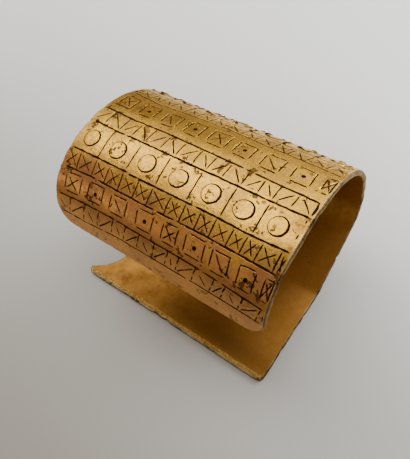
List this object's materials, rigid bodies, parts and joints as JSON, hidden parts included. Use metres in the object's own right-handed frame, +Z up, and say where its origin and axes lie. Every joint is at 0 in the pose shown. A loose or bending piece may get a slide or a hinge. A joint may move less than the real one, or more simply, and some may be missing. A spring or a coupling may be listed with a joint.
{
  "type": "cuff bracelet",
  "caption": "Wide open cuff bracelet bent from one sheet of gilded brass, with bands of engraved geometric ornament round its outside.",
  "frame": {"origin": "on the surface that the cuff lies on, under the middle of its bounding box", "axes": "+X along the arm, +Z up, -Y towards the gap between the two flaps"},
  "size_m": [0.065, 0.0544, 0.0482],
  "materials": {
    "gilded_brass": "worn gilding over brass, satin, with dark tarnish in the engraved lines and pits"
  },
  "bodies": {
    "root": {"cuff": "gilded_brass"}
  },
  "joints": []
}
